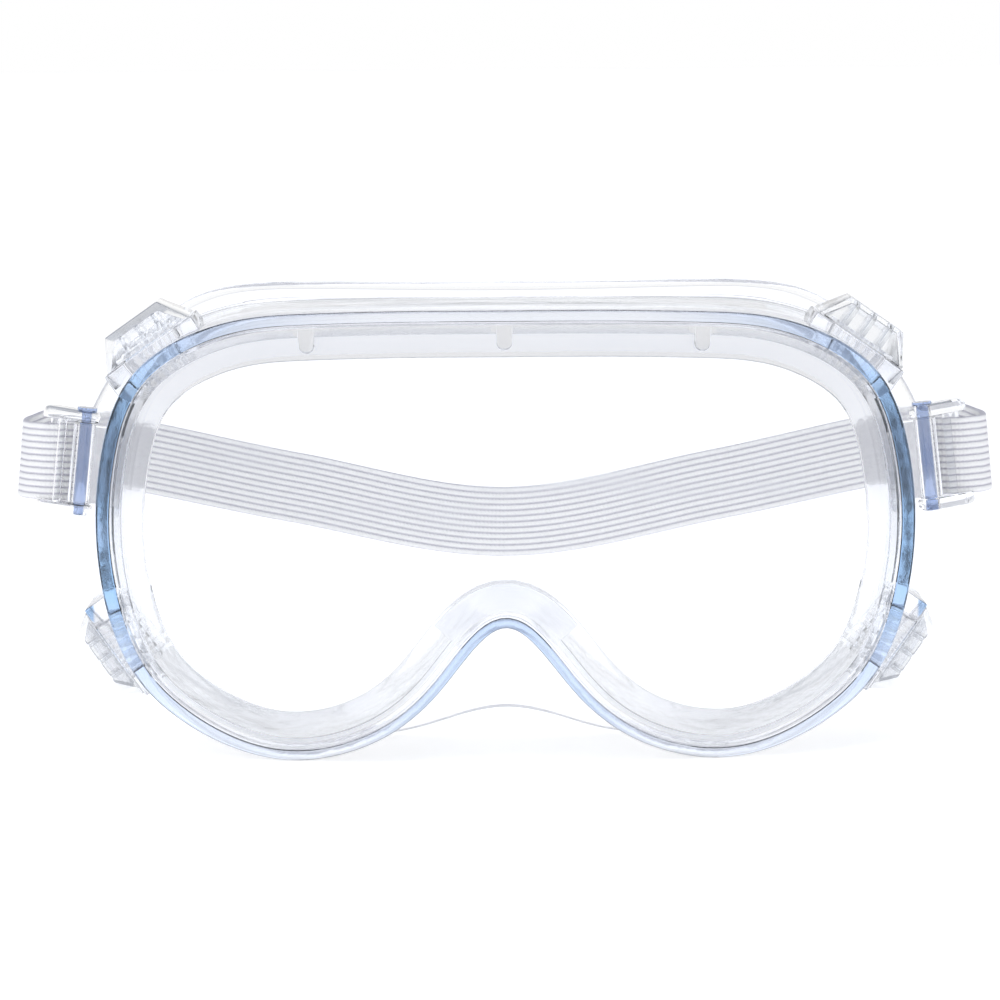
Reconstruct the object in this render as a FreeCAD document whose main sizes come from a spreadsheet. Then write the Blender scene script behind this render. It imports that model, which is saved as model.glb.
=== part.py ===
"""Clear splash goggles: a soft mask, its lens, four vents, two strap clips and an elastic strap.

Millimetres. +Z is up, the lens faces -Y and +X is to the right as seen from the front.
The goggles stand on the lower lobes of the mask, at Z = 0.
"""
import FreeCAD, Part

import math
import os

import Sketcher
from FreeCAD import Placement, Rotation, Vector

doc = FreeCAD.newDocument("SafetyGoggles")

# ---------------------------------------------------------------- driving dimensions
SIZES = {
    # mask
    "front_offset": 72.85,
    "mask_depth": 36,
    "lens_radius": 180,
    "rear_radius": 130,
    "draft_start": -6,
    "draft_end": 70,
    "wall_thickness": 2.2,
    "lip_thickness": 1.4,
    "lip_width": 4.4,
    "rear_lip_width": 8.9,
    "nose_lip_width": 8.6,
    "nose_zone_foot": 11.6,
    "nose_zone_rise": 28.8,
    "nose_zone_half_width": 30,
    "groove_depth": 2.0,
    "flange_thickness": 1.2,
    "flange_from": 20,
    "flange_to": 90,
    "tab_width": 3,
    "tab_reach": 7.4,
    "tab_pitch": 37,
    # lens
    "lens_thickness": 1.6,
    "lens_inset": 3.0,
    # vents
    "vent_behind_front": 28,
    "vent_seat_side": 20,
    "vent_seat_depth": 7.7,
    "vent_window": 11.8,
    "cap_side": 19,
    "cap_top_side": 12,
    "cap_rise": 5.8,
    "cap_wall": 1.1,
    "cap_rib": 0.9,
    "cap_rib_pitch": 3.8,
    "cap_slot_rise": 1.9,
    "plate_side": 13.8,
    "plate_thickness": 1.0,
    "neck_side": 11.6,
    "neck_length": 7.8,
    "hook_overhang": 0.8,
    "hook_thickness": 0.8,
    "grille_slot": 1.2,
    "grille_pitch": 2.2,
    "vent_gap": 0.1,
    # clips, in the clip's own frame: X outwards from the pin, Z along it
    "pin_spread": 81.2,
    "pin_behind_front": 38,
    "pin_height": 53,
    "pin_tilt": 6,
    "clip_rest_angle": 35,
    "pin_radius": 1.2,
    "pin_clearance": 0.05,
    "pin_head_radius": 1.9,
    "pin_head_rise": 0.6,
    "lug_radius": 2.3,
    "lug_rise": 15.2,
    "lug_web": 2.6,
    "lug_web_reach": 6.9,
    "clip_rise": 20.4,
    "clip_window": 15.8,
    "clip_half_width": 2.6,
    "clip_reach": 7.6,
    "middle_bar_out": 4.4,
    "middle_bar_back": -1.6,
    "middle_bar_radius": 0.8,
    "outer_bar_out": 8.6,
    "outer_bar_back": 1.2,
    "outer_bar_radius": 0.9,
    # strap
    "strap_width": 14.8,
    "strap_thickness": 1.4,
    "strap_split_radius": 10.2,
    "strap_split_gap": 1.2,
    "strap_rear_behind_front": 145,
}

# How far cutting tools run past what they cut.
BEYOND = 60

sheet = doc.addObject("Spreadsheet::Sheet", "Sizes")
for row, (alias, value) in enumerate(SIZES.items(), start=1):
    sheet.set(f"A{row}", alias)
    sheet.set(f"B{row}", str(value))
    sheet.setAlias(f"B{row}", alias)
doc.recompute()


def size(alias):
    """A driving dimension, read back from the sheet."""
    return float(getattr(sheet, alias))


def bind(thing, **formulas):
    """Bind properties of a document object to formulas over the sheet's cells."""
    for name, formula in formulas.items():
        thing.setExpression(name.replace("__", "."), formula)
    return thing


SUB_PARTS = []


def sub_part(thing, label, placement=None):
    """Give a finished piece its name and its place in the goggles."""
    thing.Label = label
    if placement is not None:
        thing.Placement = placement
    SUB_PARTS.append(thing)
    return thing


def shape_part(shape, label, placement=None):
    """A piece whose free form is worked out in code."""
    thing = doc.addObject("Part::Feature", label)
    thing.Shape = shape
    return sub_part(thing, label, placement)


FRONT = -size("front_offset")
EDGE_SAMPLES = 64

# ---------------------------------------------------------------- outlines, seen from the front
# Control points of the right-hand half of each outline, from the top centre round to the nose: (x, z).
FRONT_HALF = [
    (0, 84.4), (19, 84.4), (37, 83.8), (53, 82.8), (71.5, 72.8), (76.2, 55.5), (77.5, 38.5),
    (73, 18.5), (63.5, 7.5), (45, -1.75), (26, 1.4), (12, 11.5), (0, 32),
]
REAR_HALF = [
    (0, 85), (19, 85), (38, 84.6), (55, 83.6), (73, 74.5), (78.5, 56), (79.3, 38),
    (76, 18), (65, 6.2), (45, -0.4), (27, 3), (13, 13), (0, 33.5),
]
FLANGE_HALF = [
    (0, 87.6), (20, 87.6), (40, 87.6), (58, 86.6), (69.5, 78), (81.5, 64), (86, 46),
    (85.5, 26), (76, 7.2), (57, -0.9), (38, 1.2), (20, -1.3), (0, 8.9),
]


def outline(half):
    """The smooth closed curve whose control points are a half outline and its mirror image."""
    mirrored = [(-x, z) for x, z in reversed(half[1:-1])]
    curve = Part.BSplineCurve()
    curve.buildFromPoles([Vector(x, 0, z) for x, z in half + mirrored], True, 3)
    return curve


def inset_curve(curve, inset):
    """A curve that runs at a constant distance inside a closed curve."""
    points = []
    for step in range(EDGE_SAMPLES):
        at = curve.FirstParameter + (curve.LastParameter - curve.FirstParameter) * step / EDGE_SAMPLES
        along = curve.tangent(at)[0]
        points.append(curve.value(at) + Vector(along.z, 0, -along.x) * inset)
    inner_curve = Part.BSplineCurve()
    inner_curve.interpolate(Points=points, PeriodicFlag=True)
    return inner_curve


def wire_at(curve, y):
    """The closed curve as a wire in the plane at y."""
    wire = Part.Wire([curve.toShape()])
    wire.translate(Vector(0, y, 0))
    return wire


def prism(curve, y_from, y_to):
    """A solid with the curve as its section, straight along Y."""
    face = Part.Face(wire_at(curve, y_from))
    return face.extrude(Vector(0, y_to - y_from, 0))


def tapered(front_curve, rear_curve, y_from, y_to):
    """A solid that grows evenly from one curve into the other along Y."""
    return Part.makeLoft([wire_at(front_curve, y_from), wire_at(rear_curve, y_to)], True, True)


CYLINDER_RISE = 120
CYLINDER_FOOT = -20


def upright_cylinder(radius, y_centre):
    """A tall solid cylinder on an upright axis in the plane of symmetry."""
    return Part.makeCylinder(radius, CYLINDER_RISE, Vector(0, y_centre, CYLINDER_FOOT))


def front_slab(start, thickness):
    """The curved layer that lies start behind the lens side of the mask."""
    centre = FRONT + size("lens_radius")
    outer = upright_cylinder(size("lens_radius") - start, centre)
    return outer.cut(upright_cylinder(size("lens_radius") - start - thickness, centre))


front_curve = outline(FRONT_HALF)
rear_curve = outline(REAR_HALF)
flange_curve = outline(FLANGE_HALF)

# ---------------------------------------------------------------- vent and lug places
# name, side (+1 right), X and Z of the seat's centre on the right, and its turn about Y
VENTS = [
    ("upper_right", 1, 67.1, 76.8, 35),
    ("upper_left", -1, 67.1, 76.8, 35),
    ("lower_right", 1, 74.0, 18.7, 125),
    ("lower_left", -1, 74.0, 18.7, 125),
]


def vent_placement(side, x, z, turn):
    """A vent's own frame: its Z points out of the mask, its Y along the mask's depth."""
    place = Vector(side * x, FRONT + size("vent_behind_front"), z)
    return Placement(place, Rotation(Vector(0, 1, 0), side * turn))


def pin_placement(side):
    """The pin's own frame: its Z runs up the pin, which leans in with the side of the mask."""
    place = Vector(side * size("pin_spread"), FRONT + size("pin_behind_front"), size("pin_height"))
    return Placement(place, Rotation(Vector(0, 1, 0), -side * size("pin_tilt")))


def clip_placement(side):
    """The clip's own frame: its X points out from the pin. The left clip is the right one turned over."""
    angle = size("clip_rest_angle")
    if side > 0:
        turn = Rotation(Vector(0, 0, 1), angle)
    else:
        turn = Rotation(Vector(0, 0, 1), 180 - angle).multiply(Rotation(Vector(1, 0, 0), 180))
    return pin_placement(side).multiply(Placement(Vector(), turn))


# ---------------------------------------------------------------- mask
def centred_box(side_x, side_y, z_from, z_to):
    return Part.makeBox(side_x, side_y, z_to - z_from, Vector(-side_x / 2, -side_y / 2, z_from))


def make_mask():
    """The soft mask: ring and wall, lips with their tabs, rear flange, vent seats and strap lugs."""
    y_near = FRONT + size("draft_start")
    y_far = FRONT + size("draft_end")
    wall = size("wall_thickness")
    outer = tapered(front_curve, rear_curve, y_near, y_far)
    inner = tapered(inset_curve(front_curve, wall), inset_curve(rear_curve, wall), y_near, y_far)
    inside_front = upright_cylinder(size("lens_radius"), FRONT + size("lens_radius"))
    rear_centre = FRONT + size("mask_depth") + size("rear_radius")
    behind_rear = upright_cylinder(size("rear_radius"), rear_centre)
    mask = outer.cut(inner)

    # seats for the vents, flush with the inside of the wall
    seat_side = size("vent_seat_side")
    for _, side, x, z, turn in VENTS:
        seat = centred_box(seat_side, seat_side, -size("vent_seat_depth"), 0)
        seat.Placement = vent_placement(side, x, z, turn)
        mask = mask.fuse(seat.cut(inner))

    # lugs for the clips' pins
    rise = size("lug_rise")
    for side in (1, -1):
        lug = Part.makeCylinder(size("lug_radius"), rise, Vector(0, 0, -rise / 2))
        web_corner = Vector(0, -size("lug_web") / 2, -rise / 2)
        web = Part.makeBox(size("lug_web_reach"), size("lug_web"), rise, web_corner)
        web.Placement = Placement(Vector(), Rotation(Vector(0, 0, 1), 180 if side > 0 else 0))
        lug = lug.fuse(web)
        lug.Placement = pin_placement(side)
        mask = mask.fuse(lug.cut(inner))

    mask = mask.common(inside_front).cut(behind_rear)

    # lips that hold the lens, three tabs at the top and a wide lip over the nose
    lip = size("lip_thickness")
    front_layer = outer.common(front_slab(0, lip))
    narrow_hole = prism(inset_curve(front_curve, size("lip_width")), FRONT - 1, y_far)
    mask = mask.fuse(front_layer.cut(narrow_hole))
    nose_hole = prism(inset_curve(front_curve, size("nose_lip_width")), FRONT - 1, y_far)
    nose_foot = size("nose_zone_foot")
    nose_top = nose_foot + size("nose_zone_rise")
    nose_half = size("nose_zone_half_width")
    nose_corners = [
        Vector(0, FRONT - 1, nose_foot),
        Vector(nose_half, FRONT - 1, nose_top),
        Vector(-nose_half, FRONT - 1, nose_top),
    ]
    nose_zone = Part.Face(Part.makePolygon(nose_corners + nose_corners[:1])).extrude(Vector(0, BEYOND, 0))
    mask = mask.fuse(front_layer.common(nose_zone).cut(nose_hole))
    top = FRONT_HALF[0][1]
    half = size("tab_width") / 2
    z_end = top - size("tab_reach") + half
    for step in (-1, 0, 1):
        x_centre = step * size("tab_pitch")
        tab = Part.makeBox(2 * half, BEYOND, top - z_end, Vector(x_centre - half, FRONT - 1, z_end))
        tip = Part.makeCylinder(half, BEYOND, Vector(x_centre, FRONT - 1, z_end), Vector(0, 1, 0))
        mask = mask.fuse(tab.fuse(tip).common(front_layer))
    rear_hole = prism(inset_curve(front_curve, size("rear_lip_width")), FRONT - 1, y_far)
    rear_start = lip + size("groove_depth")
    mask = mask.fuse(outer.common(front_slab(rear_start, lip)).cut(rear_hole))

    # rear flange, which reaches down across the nose as an apron
    flange_slab = upright_cylinder(size("rear_radius") + size("flange_thickness"), rear_centre)
    flange_slab = flange_slab.cut(behind_rear)
    flange = prism(flange_curve, FRONT + size("flange_from"), FRONT + size("flange_to"))
    flange = flange.common(flange_slab).cut(inner)
    mask = mask.fuse(flange)

    # windows under the vents and bores for the pins
    window = size("vent_window")
    for _, side, x, z, turn in VENTS:
        hole = centred_box(window, window, -BEYOND / 6, BEYOND)
        hole.Placement = vent_placement(side, x, z, turn)
        mask = mask.cut(hole)
    for side in (1, -1):
        bore_radius = size("pin_radius") + size("pin_clearance")
        bore = Part.makeCylinder(bore_radius, BEYOND, Vector(0, 0, -BEYOND / 2))
        bore.Placement = pin_placement(side)
        mask = mask.cut(bore)
    return mask.removeSplitter()


mask_shape = make_mask()
shape_part(mask_shape, "frame_body")


# ---------------------------------------------------------------- lens
def make_lens():
    """A sheet bent round an upright axis, cut to sit in the groove with room to flex."""
    play = (size("groove_depth") - size("lens_thickness")) / 2
    blank = prism(inset_curve(front_curve, size("lens_inset")), FRONT - 1, FRONT + BEYOND)
    return blank.common(front_slab(size("lip_thickness") + play, size("lens_thickness")))


shape_part(make_lens(), "lens")


# ---------------------------------------------------------------- vents
def box_feature(name, side_x, side_y, rise, base_z, x_shift="0"):
    """A Part::Box centred on the vent's axis, with its sizes bound to the sheet."""
    box = doc.addObject("Part::Box", name)
    bind(box, Length=side_x, Width=side_y, Height=rise)
    bind(
        box,
        Placement__Base__x=f"-({side_x}) / 2 + ({x_shift})",
        Placement__Base__y=f"-({side_y}) / 2",
        Placement__Base__z=base_z,
    )
    return box


def frustum_feature(name, low_side, high_side, rise, base_z):
    """A Part::Wedge used as a square frustum standing on the vent's seat."""
    wedge = doc.addObject("Part::Wedge", name)
    bind(
        wedge,
        Xmin=f"-({low_side}) / 2", Xmax=f"({low_side}) / 2",
        Zmin=f"-({low_side}) / 2", Zmax=f"({low_side}) / 2",
        X2min=f"-({high_side}) / 2", X2max=f"({high_side}) / 2",
        Z2min=f"-({high_side}) / 2", Z2max=f"({high_side}) / 2",
        Ymin="0 mm", Ymax=rise,
    )
    wedge.Placement = Placement(Vector(), Rotation(Vector(1, 0, 0), 90))
    bind(wedge, Placement__Base__z=base_z)
    return wedge


def group(kind, name, members):
    """A boolean of document objects: Part::MultiFuse or Part::MultiCommon."""
    made = doc.addObject(kind, name)
    made.Shapes = members
    return made


def cut(name, base, tool):
    made = doc.addObject("Part::Cut", name)
    made.Base = base
    made.Tool = tool
    return made


def make_vent_cap(corner, placement):
    """A faceted cover with ribs inside and slots along its rear foot, where the air turns."""
    shell_wall = "Sizes.cap_wall"
    outer = frustum_feature(
        f"cap_outer_{corner}", "Sizes.cap_side", "Sizes.cap_top_side", "Sizes.cap_rise", "Sizes.vent_gap"
    )
    inner = frustum_feature(
        f"cap_inner_{corner}", f"Sizes.cap_side - 2 * {shell_wall}",
        f"Sizes.cap_top_side - 2 * {shell_wall}", f"Sizes.cap_rise - {shell_wall}", "Sizes.vent_gap"
    )
    shell = cut(f"cap_shell_{corner}", outer, inner)
    rib_foot = "Sizes.plate_thickness + 3 * Sizes.vent_gap"
    ribs = [
        box_feature(
            f"cap_rib_{corner}_{step + 1}", "Sizes.cap_rib", "Sizes.cap_side",
            "Sizes.cap_rise", rib_foot, f"{step} * Sizes.cap_rib_pitch"
        )
        for step in (-1, 0, 1)
    ]
    rib_block = group("Part::MultiFuse", f"cap_ribs_{corner}", ribs)
    inner_copy = frustum_feature(
        f"cap_rib_limit_{corner}", "Sizes.cap_side - 1 * Sizes.cap_wall",
        "Sizes.cap_top_side - 1 * Sizes.cap_wall", "Sizes.cap_rise - 0.5 * Sizes.cap_wall", "Sizes.vent_gap"
    )
    rib_inside = group("Part::MultiCommon", f"cap_ribs_inside_{corner}", [rib_block, inner_copy])
    ribbed = group("Part::MultiFuse", f"cap_ribbed_{corner}", [shell, rib_inside])
    slots = []
    for step in (-1, 1):
        slot = box_feature(
            f"cap_slot_{corner}_{step + 1}", "Sizes.cap_rib_pitch - Sizes.cap_rib", "Sizes.cap_side",
            "Sizes.cap_slot_rise", "Sizes.plate_thickness + 3 * Sizes.vent_gap",
            f"{step} * Sizes.cap_rib_pitch / 2"
        )
        bind(slot, Placement__Base__y="Sizes.cap_wall")
        slots.append(slot)
    slot_block = group("Part::MultiFuse", f"cap_slots_{corner}", slots)
    return sub_part(cut(f"cap_{corner}", ribbed, slot_block), f"vent_cap_{corner}", placement)


def make_vent_base(corner, placement):
    """A plate on the seat, with a neck through the window, a hook behind it and a grille across."""
    plate = box_feature(
        f"base_plate_{corner}", "Sizes.plate_side", "Sizes.plate_side", "Sizes.plate_thickness",
        "Sizes.vent_gap"
    )
    neck = box_feature(
        f"base_neck_{corner}", "Sizes.neck_side", "Sizes.neck_side", "Sizes.neck_length",
        "Sizes.vent_gap + Sizes.plate_thickness - Sizes.neck_length"
    )
    hook_side = "Sizes.neck_side + 2 * Sizes.hook_overhang"
    hook = box_feature(
        f"base_hook_{corner}", "Sizes.neck_side", hook_side, "Sizes.hook_thickness",
        "Sizes.vent_gap + Sizes.plate_thickness - Sizes.neck_length"
    )
    body = group("Part::MultiFuse", f"base_body_{corner}", [plate, neck, hook])
    slots = [
        box_feature(
            f"base_slot_{corner}_{step + 3}", "Sizes.grille_slot", "Sizes.neck_side - 2 * Sizes.grille_slot",
            "3 * Sizes.neck_length", "-2 * Sizes.neck_length", f"{step} * Sizes.grille_pitch"
        )
        for step in (-2, -1, 0, 1, 2)
    ]
    slot_block = group("Part::MultiFuse", f"base_slots_{corner}", slots)
    return sub_part(cut(f"base_{corner}", body, slot_block), f"vent_base_{corner}", placement)


for corner, side, x, z, turn in VENTS:
    make_vent_cap(corner, vent_placement(side, x, z, turn))
    make_vent_base(corner, vent_placement(side, x, z, turn))


# ---------------------------------------------------------------- clips and pins
def origin_plane(body, role):
    return next(f for f in body.Origin.OriginFeatures if f.Role == role)


def add_circle(sketch, x, y, radius, cell):
    """A circle whose radius is bound to a cell."""
    index = sketch.addGeometry(Part.Circle(Vector(x, y, 0), Vector(0, 0, 1), radius), False)
    constraint = sketch.addConstraint(Sketcher.Constraint("Radius", index, radius))
    sketch.setExpression(f"Constraints[{constraint}]", cell)
    return index


def add_slot_outline(sketch, length, half_width):
    """A stadium round the pin: two half circles joined by straight sides."""
    up = Vector(0, 0, 1)
    near = Part.ArcOfCircle(Part.Circle(Vector(0, 0, 0), up, half_width), math.pi / 2, 3 * math.pi / 2)
    far = Part.ArcOfCircle(Part.Circle(Vector(length, 0, 0), up, half_width), -math.pi / 2, math.pi / 2)
    top = Part.LineSegment(Vector(length, half_width, 0), Vector(0, half_width, 0))
    low = Part.LineSegment(Vector(0, -half_width, 0), Vector(length, -half_width, 0))
    for piece in (near, low, far, top):
        sketch.addGeometry(piece, False)
    for first, second in ((0, 1), (1, 2), (2, 3), (3, 0)):
        sketch.addConstraint(Sketcher.Constraint("Coincident", first, 2, second, 1))
    radius = sketch.addConstraint(Sketcher.Constraint("Radius", 0, half_width))
    sketch.setExpression(f"Constraints[{radius}]", "Sizes.clip_half_width")


def add_rectangle(sketch, x_from, x_to, y_from, y_to):
    first = sketch.GeometryCount
    corners = [Vector(x_from, y_from, 0), Vector(x_to, y_from, 0), Vector(x_to, y_to, 0), Vector(x_from, y_to, 0)]
    for start, end in zip(corners, corners[1:] + corners[:1]):
        sketch.addGeometry(Part.LineSegment(start, end), False)
    for step in range(4):
        follower = first + (step + 1) % 4
        sketch.addConstraint(Sketcher.Constraint("Coincident", first + step, 2, follower, 1))


def attached_sketch(body, name):
    sketch = body.newObject("Sketcher::SketchObject", name)
    sketch.AttachmentSupport = (origin_plane(body, "XY_Plane"), [""])
    sketch.MapMode = "FlatFace"
    return sketch


def make_clip(name, side):
    """Two ears held apart by two bars: the strap weaves behind the middle one and over the outer one."""
    body = doc.addObject("PartDesign::Body", name + "_body")
    ears = attached_sketch(body, name + "_ears_sketch")
    add_slot_outline(ears, size("clip_reach"), size("clip_half_width"))
    add_circle(ears, 0, 0, size("pin_radius"), "Sizes.pin_radius")
    pad = body.newObject("PartDesign::Pad", name + "_ears")
    pad.Profile = ears
    pad.Midplane = True
    bind(pad, Length="Sizes.clip_rise")
    doc.recompute()
    ears_volume = pad.Shape.Volume

    window = attached_sketch(body, name + "_window_sketch")
    beyond = size("clip_reach") + 2 * size("clip_half_width")
    add_rectangle(window, -beyond, beyond, -beyond, beyond)
    add_circle(
        window, size("middle_bar_out"), size("middle_bar_back"),
        size("middle_bar_radius"), "Sizes.middle_bar_radius"
    )
    add_circle(
        window, size("outer_bar_out"), size("outer_bar_back"),
        size("outer_bar_radius"), "Sizes.outer_bar_radius"
    )
    pocket = body.newObject("PartDesign::Pocket", name + "_window")
    pocket.Profile = window
    pocket.Midplane = True
    bind(pocket, Length="Sizes.clip_window")
    doc.recompute()
    if pocket.Shape.Volume > ears_volume / 2:
        raise RuntimeError(f"{name}: the window cut nothing")
    return sub_part(body, name, clip_placement(side))


def make_pin(name, side):
    """A pin pressed into both ears, with a low round head on top."""
    shaft = doc.addObject("Part::Cylinder", name + "_shaft")
    bind(shaft, Radius="Sizes.pin_radius", Height="Sizes.clip_rise", Placement__Base__z="-Sizes.clip_rise / 2")
    head = doc.addObject("Part::Cylinder", name + "_head")
    bind(head, Radius="Sizes.pin_head_radius", Height="Sizes.pin_head_rise")
    bind(head, Placement__Base__z="Sizes.clip_rise / 2")
    pin = group("Part::MultiFuse", name + "_whole", [shaft, head])
    return sub_part(pin, name, pin_placement(side))


for side, hand in ((-1, "left"), (1, "right")):
    make_clip(f"{hand}_clip", side)
    make_pin(f"{hand}_clip_pin", side)


# ---------------------------------------------------------------- strap
def ribbon_face(centre, thickness):
    """A flat strip of even thickness along a smooth line through points in the XY plane."""
    line = Part.BSplineCurve()
    line.interpolate(centre)
    sides = []
    for way in (-1, 1):
        points = []
        for step in range(EDGE_SAMPLES + 1):
            at = line.FirstParameter + (line.LastParameter - line.FirstParameter) * step / EDGE_SAMPLES
            along = line.tangent(at)[0]
            points.append(line.value(at) + Vector(-along.y, along.x, 0) * (way * thickness / 2))
        side_line = Part.BSplineCurve()
        side_line.interpolate(points)
        sides.append(side_line)
    low, high = sides
    caps = [
        Part.LineSegment(low.value(low.LastParameter), high.value(high.LastParameter)),
        Part.LineSegment(high.value(high.FirstParameter), low.value(low.FirstParameter)),
    ]
    edges = [low.toShape(), caps[0].toShape(), high.toShape(), caps[1].toShape()]
    return Part.Face(Part.Wire(Part.__sortEdges__(edges)))


# Centre line of the strap where it weaves through a clip, in the clip's frame: out, back.
STRAP_END_LINE = [(2.9, 1.7), (4.4, 0.55), (8.3, -0.85), (10.2, -0.9)]


def make_strap_end(name, side):
    """The length of strap that weaves through a clip, in the clip's own frame."""
    centre = [Vector(out, back, 0) for out, back in STRAP_END_LINE]
    face = ribbon_face(centre, size("strap_thickness"))
    face.translate(Vector(0, 0, -size("strap_width") / 2))
    return shape_part(face.extrude(Vector(0, 0, size("strap_width"))), name, clip_placement(side))


# The strap's free run on the right, seen from above: out and back from where it leaves the clip.
STRAP_RUN = [(0, 0), (1.23, 0.86), (3.4, 7), (3.2, 20), (-1, 42), (-15, 70), (-46, 90.4)]
# The height of the strap's middle over X.
STRAP_HEIGHTS = [(0, 29.5), (23, 33), (50, 39.7), (78, 47.8), (90, 52.3), (100, 53.4)]


def make_strap_band():
    """The free run behind the mask: bowed out past the clips, and sagging towards the back of the loop."""
    outwards = math.radians(size("clip_rest_angle"))
    start_radius = size("strap_split_radius") + size("strap_split_gap")
    start_x = size("pin_spread") + start_radius * math.cos(outwards)
    start_y = FRONT + size("pin_behind_front") + start_radius * math.sin(outwards)
    rear_y = FRONT + size("strap_rear_behind_front")
    right_half = [Vector(start_x + out, start_y + back, 0) for out, back in STRAP_RUN]
    left_half = [Vector(-point.x, point.y, 0) for point in reversed(right_half)]
    centre = right_half + [Vector(0, rear_y, 0)] + left_half
    plan = ribbon_face(centre, size("strap_thickness"))
    plan_prism = plan.extrude(Vector(0, 0, CYLINDER_RISE))

    half = size("strap_width") / 2
    middle = [(-x, z) for x, z in reversed(STRAP_HEIGHTS[1:])] + STRAP_HEIGHTS
    edges = []
    for way in (-1, 1):
        edge = Part.BSplineCurve()
        edge.interpolate([Vector(x, 0, z + way * half) for x, z in middle])
        edges.append(edge)
    low, high = edges
    ends = [
        Part.LineSegment(low.value(low.LastParameter), high.value(high.LastParameter)),
        Part.LineSegment(high.value(high.FirstParameter), low.value(low.FirstParameter)),
    ]
    loop = [low.toShape(), ends[0].toShape(), high.toShape(), ends[1].toShape()]
    profile = Part.Face(Part.Wire(Part.__sortEdges__(loop)))
    profile.translate(Vector(0, FRONT, 0))
    profile_prism = profile.extrude(Vector(0, 2 * size("strap_rear_behind_front"), 0))
    return shape_part(plan_prism.common(profile_prism), "strap_band")


for side, hand in ((-1, "left"), (1, "right")):
    make_strap_end(f"strap_{hand}_end", side)
make_strap_band()

# ---------------------------------------------------------------- check and write
doc.recompute()
for thing in doc.Objects:
    if {"Invalid", "Error"} & set(thing.State):
        raise RuntimeError(f"{thing.Name} did not compute: {thing.State}")
os.makedirs("parts", exist_ok=True)
for thing in SUB_PARTS:
    shape = thing.Shape
    if shape.isNull() or not shape.isValid():
        raise RuntimeError(f"{thing.Label} has no valid shape")
    shape.exportStep(f"parts/{thing.Label}.step")
    box = shape.BoundBox
    print(
        f"{thing.Label:26s} solids {len(shape.Solids)}  volume {shape.Volume:9.1f}  "
        f"x {box.XMin:7.2f} {box.XMax:7.2f}  y {box.YMin:7.2f} {box.YMax:7.2f}  z {box.ZMin:6.2f} {box.ZMax:6.2f}"
    )
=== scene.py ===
import math

import bmesh
import bpy
from mathutils import Matrix, Vector


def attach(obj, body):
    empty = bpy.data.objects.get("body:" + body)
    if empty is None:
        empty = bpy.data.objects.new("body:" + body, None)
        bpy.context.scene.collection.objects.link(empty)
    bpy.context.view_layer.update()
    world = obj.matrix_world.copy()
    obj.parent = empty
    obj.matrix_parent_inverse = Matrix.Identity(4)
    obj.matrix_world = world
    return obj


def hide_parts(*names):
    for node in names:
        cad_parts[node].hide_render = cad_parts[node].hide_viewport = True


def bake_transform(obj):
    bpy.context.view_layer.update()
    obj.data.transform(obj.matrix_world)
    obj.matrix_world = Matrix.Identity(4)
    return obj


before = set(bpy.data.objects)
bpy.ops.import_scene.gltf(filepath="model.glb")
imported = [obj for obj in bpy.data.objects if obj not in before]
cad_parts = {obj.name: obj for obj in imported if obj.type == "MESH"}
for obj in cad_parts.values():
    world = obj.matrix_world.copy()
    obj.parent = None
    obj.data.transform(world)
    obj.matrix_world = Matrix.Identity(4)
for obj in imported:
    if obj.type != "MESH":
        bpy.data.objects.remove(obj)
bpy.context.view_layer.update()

# ---------------------------------------------------------------- soft mask
# The mask is one moulding of clear, faintly blue, bendable PVC. A grooved ring holds the lens, a wall
# runs back from it, and a thin flange turns out at the rear to seal on the face. Four thick seats
# carry the vents and two lugs carry the strap clips.
MM = 0.001
FRONT = -72.85
LENS_RADIUS = 180
FACE_RADIUS = 130
MASK_DEPTH = 36
DRAFT_START = FRONT - 6
DRAFT_LENGTH = 76
WALL = 2.2
RING = 1.9
FLANGE = 1.2
LIP = 4.4
NOSE_LIP = 8.6
REAR_LIP = 8.9
TAB_PLACES = (-37, 0, 37)
TAB_HALF_WIDTH = 1.5
TAB_REACH = 7.4
TAB_ZONE_FOOT = 70
NOSE_ZONE_HALF_WIDTH = 10.2
NOSE_ZONE_TOP = 42

# depths of the lips' faces behind the front; the lens groove lies between the two lips
LIP_FRONT = 0.5
LIP_BACK = 1.5
REAR_LIP_FRONT = 3.4
REAR_LIP_BACK = 4.8

# control points of the right-hand half of each outline, from the top centre round to the nose
RING_OUTLINE = [
    (0, 84.4), (19, 84.4), (37, 83.8), (53, 82.8), (71.5, 72.8), (76.2, 55.5), (77.5, 38.5),
    (73, 18.5), (63.5, 7.5), (45, -1.75), (26, 1.4), (12, 11.5), (0, 32),
]
REAR_OUTLINE = [
    (0, 85), (19, 85), (38, 84.6), (55, 83.6), (73, 74.5), (78.5, 56), (79.3, 38),
    (76, 18), (65, 6.2), (45, -0.4), (27, 3), (13, 13), (0, 33.5),
]
FLANGE_OUTLINE = [
    (0, 87.6), (20, 87.6), (40, 87.6), (58, 86.6), (69.5, 78), (81.5, 64), (86, 46),
    (85.5, 26), (76, 7.2), (57, -0.9), (38, 1.2), (20, -1.3), (0, 8.9),
]


def outline_point(half, turn):
    """The point of a smooth closed outline after a fraction of a turn from the top centre."""
    poles = half + [(-x, z) for x, z in reversed(half[1:-1])]
    place = turn * len(poles)
    first = math.floor(place)
    t = place - first
    weights = ((1 - t) ** 3, 3 * t**3 - 6 * t**2 + 4, 1 + 3 * t + 3 * t**2 - 3 * t**3, t**3)
    point = Vector((0, 0, 0))
    for step, weight in enumerate(weights):
        x, z = poles[(first - 1 + step) % len(poles)]
        point += Vector((x, 0, z)) * weight / 6
    return point


def inwards(half, turn):
    """The direction into the mask, square to an outline."""
    along = outline_point(half, turn + 0.0004) - outline_point(half, turn - 0.0004)
    return Vector((along.z, 0, -along.x)).normalized()


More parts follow.
